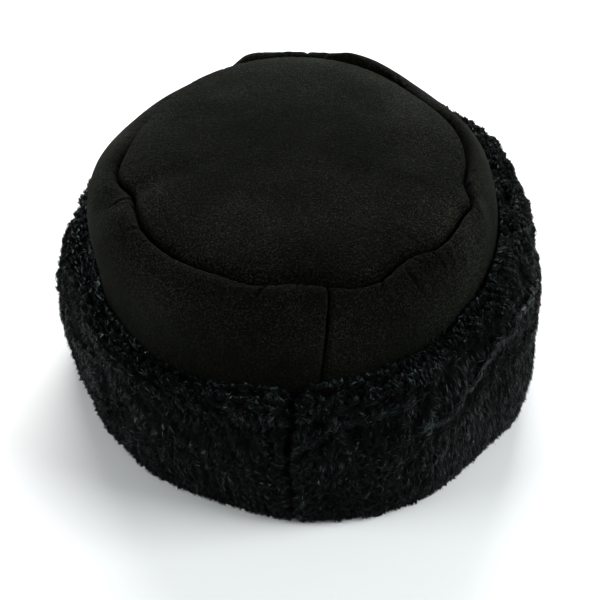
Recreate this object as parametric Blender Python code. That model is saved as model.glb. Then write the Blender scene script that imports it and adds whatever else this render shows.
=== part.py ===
"""A sheepskin hat with a soft round crown and a deep turned-up cuff of wool.

The crown is sheepskin with the suede out and clipped wool inside: a domed tip and a side band in
two halves, sewn edge to edge, so that the wool puffs the skin up on both sides of every seam. The
cuff is a strip of the same skin with the long wool out, turned up round the band and joined at the
back. Metres, +Z up. The origin is on the floor under the middle of the head, the wearer faces -Y
and the back of the hat is at +Y. A turn is measured in degrees from the back, towards the wearer's
right (-X), so 90 is the right ear, 180 the forehead and 270 the left ear.
"""

import math
from collections import namedtuple

import bpy
import numpy as np

# The head opening, an oval: what every other outline is set out from.
HEAD_HALF_WIDTH = 0.084
HEAD_HALF_LENGTH = 0.095

# The crown's sheepskin, skin and clipped wool together, and its thickness where a seam pinches it.
WALL = 0.011
PINCHED_WALL = 0.0075

# The crown: the height of the tip seam, how far in from the band's face it lies, the rise of the
# tip to its middle, the drop of the band's shoulder, its bulge below that, the height under which
# the cuff holds it flat, and how far its foot stays off the floor.
CROWN_HEIGHT = 0.117
TIP_INSET = 0.0135
TIP_RISE = 0.011
SHOULDER_DROP = 0.027
BAND_BULGE = 0.0022
BAND_TUCK = 0.056
BAND_FOOT = 0.0012

# The crown leans this far to the wearer's left, and the band's seams slant by this many degrees
# between the tip and the floor.
CROWN_LEAN = 0.0035
BAND_TWIST = -12.5

# Beside the tip seam the wool pushes the skin up by PUFF within a few ROLLs. The band's own
# seams sink by SEAM_DIP. The pieces stay apart by SEAM_GAP.
PUFF = 0.0055
ROLL = 0.0042
SEAM_DIP = 0.0035
SEAM_GAP = 0.0005

# The cuff, from the band's face outwards.
CUFF_HEIGHT = 0.070
CUFF_THICKNESS = 0.0225
CUFF_GAP = 0.0006

# The parting of the wool over the cuff's joint: how deep, how wide, and how far the top edge sinks.
PARTING_DEPTH = 0.008
PARTING_WIDTH = 0.0045
PARTING_SINK = 0.006

# The crease that runs along the cuff where its wool folds over.
CREASE_DEPTH = 0.0030
CREASE_WIDTH = 0.0060

# Locks of wool on the cuff. The reach from a lock's middle to its edge and the scatter of the
# middles are shares of the spacing.
LOCK_DEPTH = 0.0030
LOCK_SPACING = 0.0125
LOCK_REACH = 0.62
LOCK_SCATTER = 0.32
LOCK_SEED = 7

# Seams, as turns in degrees. The cuff's joint isn't in line with the band's.
BACK_SEAM = 10.5
FRONT_SEAM = 175.5
CUFF_JOINT = 356.0

# Facets. END_CROWDING draws the columns together towards the seams.
BAND_COLUMNS = 38
SHOULDER_ROWS = 6
WALL_ROWS = 3
TIP_RINGS = 9
TIP_UNDER_RINGS = 4
CUFF_COLUMNS = 140
CUFF_OUTER_ROWS = 18
CUFF_INNER_ROWS = 4
END_CROWDING = 0.3

# How the tip seam wanders from an even oval: out is a share of TIP_INSET, up a share of PUFF.
SeamBend = namedtuple("SeamBend", "turn out up")
SEAM_LINE = (
    SeamBend(0, -0.08, 0.0),
    SeamBend(9, 0.06, -0.1),
    SeamBend(19, 0.34, -0.4),
    SeamBend(27, 0.38, -0.3),
    SeamBend(34, 0.14, -0.1),
    SeamBend(40, 0.12, 0.0),
    SeamBend(47, 0.36, -0.1),
    SeamBend(54, 0.40, 0.0),
    SeamBend(64, 0.32, 0.0),
    SeamBend(70, 0.42, 0.0),
    SeamBend(75, 0.16, 0.0),
    SeamBend(80, -0.06, 0.1),
    SeamBend(88, 0.00, 0.1),
    SeamBend(102, 0.02, 0.0),
    SeamBend(130, -0.20, -0.4),
    SeamBend(158, -0.04, -0.4),
    SeamBend(180, -0.02, -0.4),
    SeamBend(205, -0.16, -0.3),
    SeamBend(225, -0.24, -0.3),
    SeamBend(243, -0.36, -0.3),
    SeamBend(262, -0.20, -0.1),
    SeamBend(274, 0.02, -0.1),
    SeamBend(280, -0.06, 0.0),
    SeamBend(287, -0.36, 0.0),
    SeamBend(294, -0.24, 0.2),
    SeamBend(304, -0.02, 0.0),
    SeamBend(318, 0.06, -0.1),
    SeamBend(336, 0.02, 0.0),
    SeamBend(348, 0.04, -0.2),
)

# Where the band's shoulder sinks or fills: crest and face are shares of SHOULDER_DROP and of
# BAND_BULGE, added to the even band.
BandBend = namedtuple("BandBend", "turn crest face")
BAND_LINE = (
    BandBend(0, 0.00, 0.0),
    BandBend(60, 0.00, 0.0),
    BandBend(84, 0.00, -0.8),
    BandBend(110, -0.02, -0.9),
    BandBend(130, -0.10, -0.7),
    BandBend(148, 0.06, -0.4),
    BandBend(160, 0.12, -0.2),
    BandBend(168, 0.00, -0.3),
    BandBend(185, -0.02, -0.3),
    BandBend(195, 0.00, -0.4),
    BandBend(203, -0.26, -0.7),
    BandBend(243, -0.26, -0.6),
    BandBend(272, 0.00, 0.2),
    BandBend(320, 0.00, 0.0),
)

# How the cuff varies: its top edge and the lift of its foot off the floor are shares of
# CUFF_HEIGHT, its fullness a share of CUFF_THICKNESS. The crease's place is a share of the way
# up the outer face and its depth a share of CREASE_DEPTH.
CuffBend = namedtuple("CuffBend", "turn height fullness lift crease_up crease_depth")
CUFF_LINE = (
    CuffBend(10, 1.06, 0.94, 0.00, 0.62, 0.5),
    CuffBend(22, 1.10, 1.03, 0.00, 0.66, 0.9),
    CuffBend(34, 1.15, 1.06, 0.00, 0.66, 1.0),
    CuffBend(48, 1.22, 0.91, 0.01, 0.64, 0.7),
    CuffBend(64, 1.28, 1.06, 0.02, 0.62, 0.1),
    CuffBend(80, 1.31, 0.96, 0.00, 0.55, 0.2),
    CuffBend(100, 1.33, 0.98, 0.00, 0.50, 0.3),
    CuffBend(130, 1.39, 0.97, 0.00, 0.52, 0.5),
    CuffBend(165, 1.17, 0.95, 0.00, 0.56, 0.7),
    CuffBend(195, 1.07, 0.94, 0.00, 0.60, 0.4),
    CuffBend(225, 1.10, 0.91, 0.00, 0.55, 0.6),
    CuffBend(250, 1.15, 0.93, 0.00, 0.50, 0.8),
    CuffBend(270, 1.05, 1.03, 0.01, 0.48, 0.4),
    CuffBend(283, 0.99, 0.72, 0.02, 0.50, 0.3),
    CuffBend(297, 0.97, 0.69, 0.04, 0.52, 0.2),
    CuffBend(320, 0.96, 0.75, 0.06, 0.56, 0.8),
    CuffBend(344, 1.02, 0.80, 0.04, 0.54, 1.0),
)

# The cuff's section, from its flat foot out, up and over to the band: out is a share of the
# thickness from the band's face, up a share of the height. The foot starts at CUFF_FOOT_IN and
# the inner face at CUFF_HEEL_UP.
CuffPoint = namedtuple("CuffPoint", "out up")
CUFF_OUTSIDE = (
    CuffPoint(0.46, 0.00),
    CuffPoint(0.64, 0.04),
    CuffPoint(0.79, 0.14),
    CuffPoint(0.90, 0.28),
    CuffPoint(0.97, 0.43),
    CuffPoint(1.00, 0.59),
    CuffPoint(0.97, 0.76),
    CuffPoint(0.84, 0.91),
    CuffPoint(0.62, 0.99),
    CuffPoint(0.36, 1.01),
    CuffPoint(0.12, 0.99),
    CuffPoint(0.00, 0.93),
)
CUFF_FOOT_IN = 0.12
CUFF_HEEL_UP = 0.06


def clear_scene():
    """Removes whatever the scene starts with."""
    for old in list(bpy.data.objects):
        bpy.data.objects.remove(old, do_unlink=True)


def material(name, colour, roughness):
    """A plain dyed material."""
    made = bpy.data.materials.new(name)
    made.use_nodes = True
    shader = made.node_tree.nodes["Principled BSDF"]
    shader.inputs["Base Color"].default_value = (*colour, 1.0)
    shader.inputs["Roughness"].default_value = roughness
    shader.inputs["Metallic"].default_value = 0.0
    return made


def hermite(share, before, start, end, after, reach, reach_before, reach_after):
    """Smooth value between start and end, with slopes taken from the neighbours."""
    slope_start = (end - before) / (reach + reach_before) * reach
    slope_end = (after - start) / (reach + reach_after) * reach
    cube = share**3
    square = share**2
    return (
        (2 * cube - 3 * square + 1) * start
        + (cube - 2 * square + share) * slope_start
        + (3 * square - 2 * cube) * end
        + (cube - square) * slope_end
    )


def around(table, column, turn):
    """The value of a table's column at any turn, smooth and closed through the full circle."""
    turn = turn % 360
    count = len(table)
    after = next((k for k in range(count) if table[k].turn > turn), 0)
    rows = [table[(after + step) % count] for step in (-2, -1, 0, 1)]
    gaps = [(rows[k + 1].turn - rows[k].turn) % 360 for k in range(3)]
    share = ((turn - rows[1].turn) % 360) / gaps[1]
    values = [getattr(row, column) for row in rows]
    return hermite(share, *values, gaps[1], gaps[0], gaps[2])


def along(points, share):
    """The point at a share of the way along a line of points, smooth between them."""
    place = min(max(share, 0.0), 1.0) * (len(points) - 1)
    k = min(int(place), len(points) - 2)
    ends = [points[min(max(k + step, 0), len(points) - 1)] for step in (-1, 0, 1, 2)]
    columns = zip(*ends)
    return tuple(hermite(place - k, *values, 1, 1, 1) for values in columns)


def on_oval(turn, out, height):
    """The point at a turn, a distance out from the head oval, and a height."""
    angle = math.radians(turn)
    return (
        -(HEAD_HALF_WIDTH + out) * math.sin(angle),
        (HEAD_HALF_LENGTH + out) * math.cos(angle),
        height,
    )


def leaning(point):
    """The point moved with the crown, which leans to the wearer's left over the cuff."""
    x, y, height = point
    share = min(max((height - BAND_TUCK) / (CROWN_HEIGHT - BAND_TUCK), 0.0), 1.0)
    return (x + CROWN_LEAN * share**2 * (3 - 2 * share), y, height)


def slant(height):
    """How far in degrees the crown's seams and bends have turned at a height."""
    return BAND_TWIST * (1 - height / CROWN_HEIGHT)


def arc_between(turn, other, out):
    """The distance round the oval between two turns, at a distance out from it."""
    apart = abs((turn - other + 180) % 360 - 180)
    return math.radians(apart) * ((HEAD_HALF_WIDTH + HEAD_HALF_LENGTH) / 2 + out)


def seam_out(turn):
    """How far out from the head oval the tip seam lies."""
    return WALL - TIP_INSET * (1 - around(SEAM_LINE, "out", turn))


def seam_height(turn):
    """The height of the root of the tip seam."""
    return CROWN_HEIGHT + PUFF * around(SEAM_LINE, "up", turn)


def band_face(turn):
    """How far out the band's face lies at the foot of its shoulder."""
    return WALL + BAND_BULGE * (1 + around(BAND_LINE, "face", turn))


def shoulder_foot(turn):
    """The height at which the band's shoulder ends and its wall starts."""
    return seam_height(turn) + PUFF - SHOULDER_DROP


def wall_out(turn, height):
    """How far out the band's wall lies at a height: flat up to BAND_TUCK, then easing out."""
    share = (height - BAND_TUCK) / (shoulder_foot(turn) - BAND_TUCK)
    return WALL + (band_face(turn) - WALL) * min(max(share, 0.0), 1.0)


def spaced_turns(first, last, count):
    """Turns from first to last, closer together towards both ends."""
    shares = [k / count for k in range(count + 1)]
    eased = [s - END_CROWDING * math.sin(math.tau * s) / math.tau for s in shares]
    return [first + (last - first) * s for s in eased]


def band_turns(first, last):
    """The turns of a half of the band, its ends held off the neighbour by half a seam's gap."""
    gap = math.degrees(SEAM_GAP / 2 / (HEAD_HALF_LENGTH + WALL))
    return spaced_turns(first + gap, last - gap, BAND_COLUMNS)


def closed_mesh(name, points, faces, skin):
    """Makes the object of one closed mesh."""
    mesh = bpy.data.meshes.new(name)
    mesh.from_pydata(points, [], faces)
    mesh.update()
    made = bpy.data.objects.new(name, mesh)
    bpy.context.scene.collection.objects.link(made)
    mesh.materials.append(skin)
    mesh.shade_smooth()
    mesh.set_sharp_from_angle(angle=math.radians(60))
    return made


def band_outside(turn, ends):
    """The band's outer face at a turn, from the tip seam over the shoulder to the foot."""
    start = seam_out(turn)
    face = band_face(turn)
    crest = seam_height(turn) + PUFF
    sag = SHOULDER_DROP * around(BAND_LINE, "crest", turn)
    dip = sum(SEAM_DIP * math.exp(-arc_between(turn, end, WALL) / ROLL) for end in ends)
    points = []
    for row in range(SHOULDER_ROWS + 1):
        angle = math.pi / 2 * row / SHOULDER_ROWS
        reach = (face - start) * math.sin(angle)
        fade = 1 - math.exp(-reach / ROLL)
        height = crest - SHOULDER_DROP * (1 - math.cos(angle)) - PUFF * (1 - fade)
        height += (sag - dip) * fade * math.cos(angle)
        points.append((start + reach - dip * fade * math.sin(angle), height))
    top = shoulder_foot(turn)
    for row in range(1, WALL_ROWS):
        height = top + (BAND_TUCK - top) * row / (WALL_ROWS - 1)
        points.append((wall_out(turn, height) - dip, height))
    points.append((WALL - dip, BAND_FOOT))
    return points


def band_inside(turn):
    """The band's wool face, set in from its outer face."""
    start = seam_out(turn)
    top = seam_height(turn) - PINCHED_WALL
    drop = SHOULDER_DROP - (WALL - PINCHED_WALL)
    points = []
    for row in range(SHOULDER_ROWS + 1):
        angle = math.pi / 2 * row / SHOULDER_ROWS
        points.append((start * (1 - math.sin(angle)), top - drop * (1 - math.cos(angle))))
    for row in range(1, WALL_ROWS + 1):
        points.append((0.0, top - drop + (BAND_FOOT - top + drop) * row / WALL_ROWS))
    return points


def make_band(name, first, last, skin):
    """Half of the side band, a curved wall from the back seam to the front seam."""
    turns = band_turns(first, last)
    points = []
    for turn in turns:
        outside = band_outside(turn, (first, last))
        inside = band_inside(turn)
        for out, height in outside + inside[::-1]:
            points.append(leaning(on_oval(turn + slant(height), out, height)))
    rows = SHOULDER_ROWS + WALL_ROWS
    loop = 2 * (rows + 1)
    faces = []
    for column in range(len(turns) - 1):
        for k in range(loop):
            near = column * loop + k
            near_next = column * loop + (k + 1) % loop
            faces.append((near, near_next, near_next + loop, near + loop))
    last_column = (len(turns) - 1) * loop
    for k in range(rows):
        cap = (k, loop - 1 - k, loop - 2 - k, k + 1)
        faces.append(cap)
        faces.append(tuple(last_column + corner for corner in reversed(cap)))
    return closed_mesh(name, points, faces, skin)


def tip_rings(count):
    """Shares of the way from the tip's middle to its seam, closer together near the seam."""
    return [1 - (1 - k / count) ** 2 for k in range(1, count + 1)]


def tip_heights(share, turn):
    """The heights of the tip's suede and of its wool at a share of the way out to the seam."""
    radius = (HEAD_HALF_WIDTH + HEAD_HALF_LENGTH) / 2 + WALL - TIP_INSET
    risen = 1 - math.exp(-(1 - share) * radius / ROLL)
    level = CROWN_HEIGHT + (seam_height(turn) - CROWN_HEIGHT) * share**3
    top = level + PUFF * risen + TIP_RISE * (1 - share**2)
    return top, top - PINCHED_WALL - (WALL - PINCHED_WALL) * risen


def make_tip(turns, skin):
    """The domed tip of the crown, sewn all round to the band."""
    count = len(turns)
    points = []
    for face, rings in ((0, tip_rings(TIP_RINGS)), (1, tip_rings(TIP_UNDER_RINGS))):
        points.append(leaning((0.0, 0.0, tip_heights(0.0, 0.0)[face])))
        for share in rings:
            for turn in turns:
                height = tip_heights(share, turn)[face]
                x, y, _ = on_oval(turn + slant(height), seam_out(turn) - SEAM_GAP, height)
                points.append(leaning((x * share, y * share, height)))
    faces = []
    under = 1 + TIP_RINGS * count

    def ring_faces(middle, rings, outward):
        for k in range(count):
            step = (k + 1) % count
            fan = (middle, middle + 1 + k, middle + 1 + step)
            faces.append(fan if outward else fan[::-1])
            for ring in range(rings - 1):
                inner = middle + 1 + ring * count
                quad = (inner + k, inner + count + k, inner + count + step, inner + step)
                faces.append(quad if outward else quad[::-1])

    ring_faces(0, TIP_RINGS, True)
    ring_faces(under, TIP_UNDER_RINGS, False)
    top_edge = 1 + (TIP_RINGS - 1) * count
    under_edge = under + 1 + (TIP_UNDER_RINGS - 1) * count
    for k in range(count):
        step = (k + 1) % count
        faces.append((top_edge + k, under_edge + k, under_edge + step, top_edge + step))
    return closed_mesh("crown_tip", points, faces, skin)


def cuff_reach():
    """The length of the cuff's outer face, from its foot over the top edge to the band."""
    return CUFF_HEIGHT + 2 * CUFF_THICKNESS


def lock_centres(length_round, length_up):
    """Centres of the locks, in distance round the cuff and up its section, shifted row by row."""
    random = np.random.default_rng(LOCK_SEED)
    columns = max(3, round(length_round / LOCK_SPACING))
    rows = max(2, round(length_up / LOCK_SPACING))
    centres = []
    for row in range(rows):
        for column in range(columns):
            jitter = random.uniform(-LOCK_SCATTER, LOCK_SCATTER, 2)
            centres.append(
                (
                    (column + 0.5 * (row % 2) + jitter[0]) / columns * length_round,
                    (row + 0.5 + jitter[1]) / rows * length_up,
                )
            )
    return np.array(centres)


def lock_height(centres, length_round, place_round, place_up):
    """How far the wool stands out at a place: full in a lock's middle, nothing between locks."""
    apart = np.abs(centres[:, 0] - place_round)
    apart = np.minimum(apart, length_round - apart)
    nearest = np.hypot(apart, centres[:, 1] - place_up).min()
    return LOCK_DEPTH * max(0.0, 1 - (nearest / (LOCK_REACH * LOCK_SPACING)) ** 2)


def cuff_section(turn):
    """The cuff's section at a turn, as (out, height, lock share), from the foot and back to it."""
    apart = arc_between(turn, CUFF_JOINT, WALL + CUFF_THICKNESS)
    parting = math.exp(-((apart / PARTING_WIDTH) ** 2))
    top = CUFF_HEIGHT * around(CUFF_LINE, "height", turn) - LOCK_DEPTH - PARTING_SINK * parting
    lift = CUFF_HEIGHT * max(0.0, around(CUFF_LINE, "lift", turn))
    depth = CUFF_THICKNESS * around(CUFF_LINE, "fullness", turn) - LOCK_DEPTH
    crease_depth = CREASE_DEPTH * around(CUFF_LINE, "crease_depth", turn)
    crease_place = around(CUFF_LINE, "crease_up", turn)

    def point(out, up, locked):
        height = lift + max(0.0, up) * (top - lift)
        face = wall_out(turn - slant(height), height) + CUFF_GAP
        return (face + max(0.0, out), height, locked)

    section = []
    for row in range(CUFF_OUTER_ROWS + 1):
        share = row / CUFF_OUTER_ROWS
        out, up = along(CUFF_OUTSIDE, share)
        away = (share - crease_place) * cuff_reach() / CREASE_WIDTH
        creased = crease_depth * math.exp(-(away**2)) * out
        locked = min(1.0, row / 2, max(0, CUFF_OUTER_ROWS - 1 - row) / 4)
        section.append(point(out * (depth - PARTING_DEPTH * parting) - creased, up, locked))
    last_up = CUFF_OUTSIDE[-1].up
    for row in range(1, CUFF_INNER_ROWS + 1):
        up = last_up + (CUFF_HEEL_UP - last_up) * row / CUFF_INNER_ROWS
        section.append(point(0.0, up, 0.0))
    section.append(point(CUFF_FOOT_IN * depth, 0.0, 0.0))
    return section


def make_cuff(skin):
    """The turned-up cuff, one ring of deep wool whose locks are raised from its outer face."""
    turns = spaced_turns(CUFF_JOINT, CUFF_JOINT + 360, CUFF_COLUMNS)[:-1]
    length_round = math.tau * ((HEAD_HALF_WIDTH + HEAD_HALF_LENGTH) / 2 + WALL + CUFF_THICKNESS)
    length_up = cuff_reach()
    centres = lock_centres(length_round, length_up)
    points = []
    for turn in turns:
        section = cuff_section(turn)
        rows = len(section)
        for row, (out, height, locked) in enumerate(section):
            before = section[row - 1]
            after = section[(row + 1) % rows]
            run = (after[0] - before[0], after[1] - before[1])
            length = math.hypot(*run)
            raised = 0.0
            if locked:
                place_round = ((turn - CUFF_JOINT) / 360) * length_round
                place_up = row / CUFF_OUTER_ROWS * length_up
                raised = locked * lock_height(centres, length_round, place_round, place_up)
            out += raised * run[1] / length
            height = max(0.0, height - raised * run[0] / length)
            points.append(leaning(on_oval(turn, out, height)))
    columns = len(turns)
    faces = []
    for column in range(columns):
        beside = (column + 1) % columns
        for row in range(rows):
            over = (row + 1) % rows
            near, far = column * rows, beside * rows
            faces.append((near + row, far + row, far + over, near + over))
    return closed_mesh("cuff", points, faces, skin)


def main():
    clear_scene()
    suede = material("black_suede", (0.012, 0.012, 0.010), 0.9)
    wool = material("black_wool", (0.009, 0.010, 0.010), 0.8)
    hat = bpy.data.objects.new("sheepskin_hat", None)
    bpy.context.scene.collection.objects.link(hat)
    right = band_turns(BACK_SEAM, FRONT_SEAM)
    left = band_turns(FRONT_SEAM, BACK_SEAM + 360)
    pieces = (
        make_tip(right + left, suede),
        make_band("band_right", BACK_SEAM, FRONT_SEAM, suede),
        make_band("band_left", FRONT_SEAM, BACK_SEAM + 360, suede),
        make_cuff(wool),
    )
    for piece in pieces:
        piece.parent = hat


main()
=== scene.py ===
"""Looks of the sheepskin hat: a suede crown, a cuff of curly wool, a pale floor, lights and camera.

The crown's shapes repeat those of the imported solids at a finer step, with gathers, wrinkles and nap
added. The wool is a lumpy pile with many thin curved strands on it. A turn is measured in degrees
from the hat's back (+Y) towards the wearer's right (-X). Lengths are in metres.
"""

import math
from collections import namedtuple

import bpy
import numpy as np
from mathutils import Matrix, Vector


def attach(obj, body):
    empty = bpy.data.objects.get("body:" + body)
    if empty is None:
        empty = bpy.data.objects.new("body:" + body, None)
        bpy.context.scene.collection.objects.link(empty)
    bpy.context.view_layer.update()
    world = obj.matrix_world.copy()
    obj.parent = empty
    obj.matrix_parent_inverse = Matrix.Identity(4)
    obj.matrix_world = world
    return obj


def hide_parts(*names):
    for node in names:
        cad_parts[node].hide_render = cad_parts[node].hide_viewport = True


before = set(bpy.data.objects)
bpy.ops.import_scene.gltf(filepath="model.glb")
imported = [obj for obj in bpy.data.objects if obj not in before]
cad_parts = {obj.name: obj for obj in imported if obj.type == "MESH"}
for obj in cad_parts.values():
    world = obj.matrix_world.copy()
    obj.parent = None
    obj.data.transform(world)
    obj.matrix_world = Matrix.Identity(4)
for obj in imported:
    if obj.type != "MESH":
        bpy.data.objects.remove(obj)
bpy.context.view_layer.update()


def table(names, *rows):
    """The rows of a table, with names for their columns."""
    row_kind = namedtuple("Row", names)
    return [row_kind(*row) for row in rows]


# Sizes and tables of the solids, in the same frame.
HEAD_HALF_WIDTH = 0.084
HEAD_HALF_LENGTH = 0.095
WALL = 0.011
PINCHED_WALL = 0.0075
CROWN_HEIGHT = 0.117
TIP_INSET = 0.0135
TIP_RISE = 0.011
SHOULDER_DROP = 0.027
BAND_BULGE = 0.0022
BAND_TUCK = 0.056
BAND_FOOT = 0.0012
CROWN_LEAN = 0.0035
BAND_TWIST = -12.5
PUFF = 0.0055
ROLL = 0.0042
SEAM_DIP = 0.0035
SEAM_GAP = 0.0005
CUFF_HEIGHT = 0.07
CUFF_THICKNESS = 0.0225
CUFF_GAP = 0.0006
PARTING_SINK = 0.006
BACK_SEAM = 10.5
FRONT_SEAM = 175.5
CUFF_JOINT = 356.0

# The tip seam round the hat: how far out it lies as a share of TIP_INSET, and how high of PUFF.
SEAM_LINE = table(
    "turn out up",
    (0, -0.08, 0), (9, 0.06, -0.1), (19, 0.34, -0.4), (27, 0.38, -0.3), (34, 0.14, -0.1),
    (40, 0.12, 0), (47, 0.36, -0.1), (54, 0.4, 0), (64, 0.32, 0), (70, 0.42, 0), (75, 0.16, 0),
    (80, -0.06, 0.1), (88, 0, 0.1), (102, 0.02, 0), (130, -0.2, -0.4), (158, -0.04, -0.4),
    (180, -0.02, -0.4), (205, -0.16, -0.3), (225, -0.24, -0.3), (243, -0.36, -0.3),
    (262, -0.2, -0.1), (274, 0.02, -0.1), (280, -0.06, 0), (287, -0.36, 0), (294, -0.24, 0.2),
    (304, -0.02, 0), (318, 0.06, -0.1), (336, 0.02, 0), (348, 0.04, -0.2),
)

# The band round the hat: its shoulder's rise as a share of SHOULDER_DROP, its face's of BAND_BULGE.
BAND_LINE = table(
    "turn crest face",
    (0, 0, 0), (60, 0, 0), (84, 0, -0.8), (110, -0.02, -0.9), (130, -0.1, -0.7), (148, 0.06, -0.4),
    (160, 0.12, -0.2), (168, 0, -0.3), (185, -0.02, -0.3), (195, 0, -0.4), (203, -0.26, -0.7),
    (243, -0.26, -0.6), (272, 0, 0.2), (320, 0, 0),
)

# The cuff round the hat: shares of CUFF_HEIGHT and CUFF_THICKNESS, how far its foot is lifted, and
# where its crease runs and how deep it is.
CUFF_LINE = table(
    "turn height fullness lift crease_up crease_depth",
    (10, 1.06, 0.94, 0, 0.62, 0.5), (22, 1.1, 1.03, 0, 0.66, 0.9), (34, 1.15, 1.06, 0, 0.66, 1),
    (48, 1.22, 0.91, 0.01, 0.64, 0.7), (64, 1.28, 1.06, 0.02, 0.62, 0.1),
    (80, 1.31, 0.96, 0, 0.55, 0.2), (100, 1.33, 0.98, 0, 0.5, 0.3), (130, 1.39, 0.97, 0, 0.52, 0.5),
    (165, 1.17, 0.95, 0, 0.56, 0.7), (195, 1.07, 0.94, 0, 0.6, 0.4), (225, 1.1, 0.91, 0, 0.55, 0.6),
    (250, 1.15, 0.93, 0, 0.5, 0.8), (270, 1.05, 1.03, 0.01, 0.48, 0.4),
    (283, 0.99, 0.72, 0.02, 0.5, 0.3), (297, 0.97, 0.69, 0.04, 0.52, 0.2),
    (320, 0.96, 0.75, 0.06, 0.56, 0.8), (344, 1.02, 0.8, 0.04, 0.54, 1),
)

# The cuff's outer face from foot to band, as shares of its thickness and its height.
CUFF_OUTSIDE = table(
    "out up",
    (0.46, 0), (0.64, 0.04), (0.79, 0.14), (0.9, 0.28), (0.97, 0.43), (1, 0.59), (0.97, 0.76),
    (0.84, 0.91), (0.62, 0.99), (0.36, 1.01), (0.12, 0.99), (0, 0.93),
)

# Wrinkles of the band: from a start to an end, each a turn and a distance down from the tip seam
# in millimetres, with the depth and the half width in millimetres.
WRINKLES = table(
    "turn down turn_end down_end depth width",
    (34.5, 9, 40.2, 28, 1.1, 1.5), (38, 1, 40, 12, 0.6, 1.2), (42.3, 2, 40.8, 13, 0.5, 0.9),
    (44.4, 4, 46.8, 19, 0.8, 1), (48.2, 9, 51.6, 19, 0.6, 1), (53.6, 15, 56.5, 26, 0.4, 1),
    (58, 15, 61, 25, 0.35, 1), (62.5, 15, 65.2, 25, 0.5, 1), (72, 3, 78, 14, 0.4, 1),
    (79, 2, 86, 9, 0.6, 1.1), (27, 1, 25, 11, 0.6, 1.6), (352, 1, 350, 14, 0.8, 1.5),
    (345, 1, 343, 9, 0.5, 1.3), (2, 1, 1, 12, 0.6, 1.4), (305, 1, 301, 13, 0.6, 1.6),
    (311, 1, 308, 10, 0.5, 1.4), (288.2, 3, 289.3, 17, 1.2, 1.2), (293, 1, 292, 9, 0.6, 1.3),
    (171, 1, 168, 12, 0.9, 1.6), (181, 1, 184, 11, 0.8, 1.6), (140, 1, 143, 10, 0.6, 1.5),
    (226, 1, 229, 12, 0.7, 1.6),
)

# How far the rounded edges beside the tip seam reach, on the tip and on the band, in millimetres.
SEAM_ROLLS = table(
    "turn tip band",
    (0, 6.5, 1.8), (20, 5.4, 1.8), (34, 2.8, 1.8), (48, 1.9, 2.2), (68, 2, 2.6), (84, 1.8, 5.5),
    (130, 2.6, 5), (180, 2.6, 4), (225, 2.6, 5.5), (268, 1.8, 7.5), (292, 1.9, 7), (312, 3.2, 3),
    (338, 6, 1.8),
)

# Round the hat: how far the wool's tufts are drawn out along the way from the foot to the band, and
# painted light and shade: how light the wool is painted on each side, and how much lighter on the
# cuff's top.
WOOL_COMB = table(
    "turn streak tone top",
    (0, 0.2, 1.95, 1.2), (16, 0.3, 2.05, 1.2), (34, 0.9, 1.85, 1.6), (56, 1, 1.35, 2),
    (76, 1, 0.5, 2.5), (110, 0.6, 0.85, 1.9), (180, 0.4, 1.05, 1.3), (255, 0.3, 1.95, 2.1),
    (274, 0.3, 2.5, 2.7), (292, 0.2, 2.3, 2.4), (312, 0.2, 1.7, 1.5), (335, 0.2, 1.9, 1.2),
)

# Which way the wool leans at shares of the way from foot to band: up above zero, down below it.
WOOL_LEAN = table(
    "share lean",
    (0, -0.5), (0.35, -0.7), (0.42, -0.4), (0.5, 0.2), (0.55, 0), (0.59, -0.9), (0.64, -0.7),
    (0.7, 0.8), (0.9, 1),
)

# Folds of the wool: from a start to an end, each a turn and a share of the way from foot to band,
# how far the wool rises there (or sinks, below zero) and the half width in millimetres, and its tone.
# The tones are painted light on the raised folds and painted shade in the sunk ones.
WOOL_FOLDS = table(
    "turn share turn_end share_end rise width tone",
    (79, 0.545, 69, 0.6, 1.1, 1.5, 1.6), (69, 0.6, 61, 0.62, 1.1, 1.5, 1.8),
    (61, 0.62, 52.5, 0.6, 1.1, 1.5, 2), (52.5, 0.6, 44, 0.535, 1.1, 1.5, 1.9),
    (44, 0.535, 36, 0.515, 1, 1.5, 1.8), (36, 0.515, 28, 0.52, 0.8, 1.5, 1.4),
    (306, 0.575, 324, 0.5, -1.8, 2, 0.35), (324, 0.5, 349, 0.505, -1.6, 2, 0.4),
    (356, 0.49, 9, 0.6, 0.8, 1.3, 1.4), (9, 0.6, 26, 0.64, 0.8, 1.5, 1.3),
    (36.5, 0.67, 38, 0.675, -2.2, 2, 0.25), (51, 0.61, 52.5, 0.615, -2, 1.8, 0.25),
    (12.5, 0.67, 13.5, 0.68, -2, 1.8, 0.25), (28.5, 0.61, 29.5, 0.6, -2, 1.8, 0.25),
    (340, 0.72, 341, 0.725, -2.2, 2, 0.2), (345, 0.715, 346, 0.72, -2.2, 2, 0.2),
)

# The circle that arc lengths are measured on, and the way over the cuff's face from foot to band.
ROUND = 0.68
FACE_LENGTH = CUFF_HEIGHT + 2 * CUFF_THICKNESS

# How far the wool's parting lies from the joint of the cuff's solid, as the photograph shows it, and
# how far the pile lies inside the solid's face, to leave room for the strands on it.
PARTING_PLACE = 0.0039
PILE_INSET = 0.0022

# Sizes of the wool's tufts and locks, its strands' joints, shortest and longest lengths, and the
# widths of light wisps, of loose strays and of the other strands.
BIG_TUFT = 0.0078
SMALL_TUFT = 0.0034
LOCK = 0.0016
STRAND_JOINTS = 4
STRAND_LENGTHS = (0.0024, 0.0042)
WISP_WIDTH = 0.00034
STRAY_WIDTH = 0.00015
STRAND_WIDTH = 0.00026

PIECES_OF_STRANDS = 4
STRANDS = 31000
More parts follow.
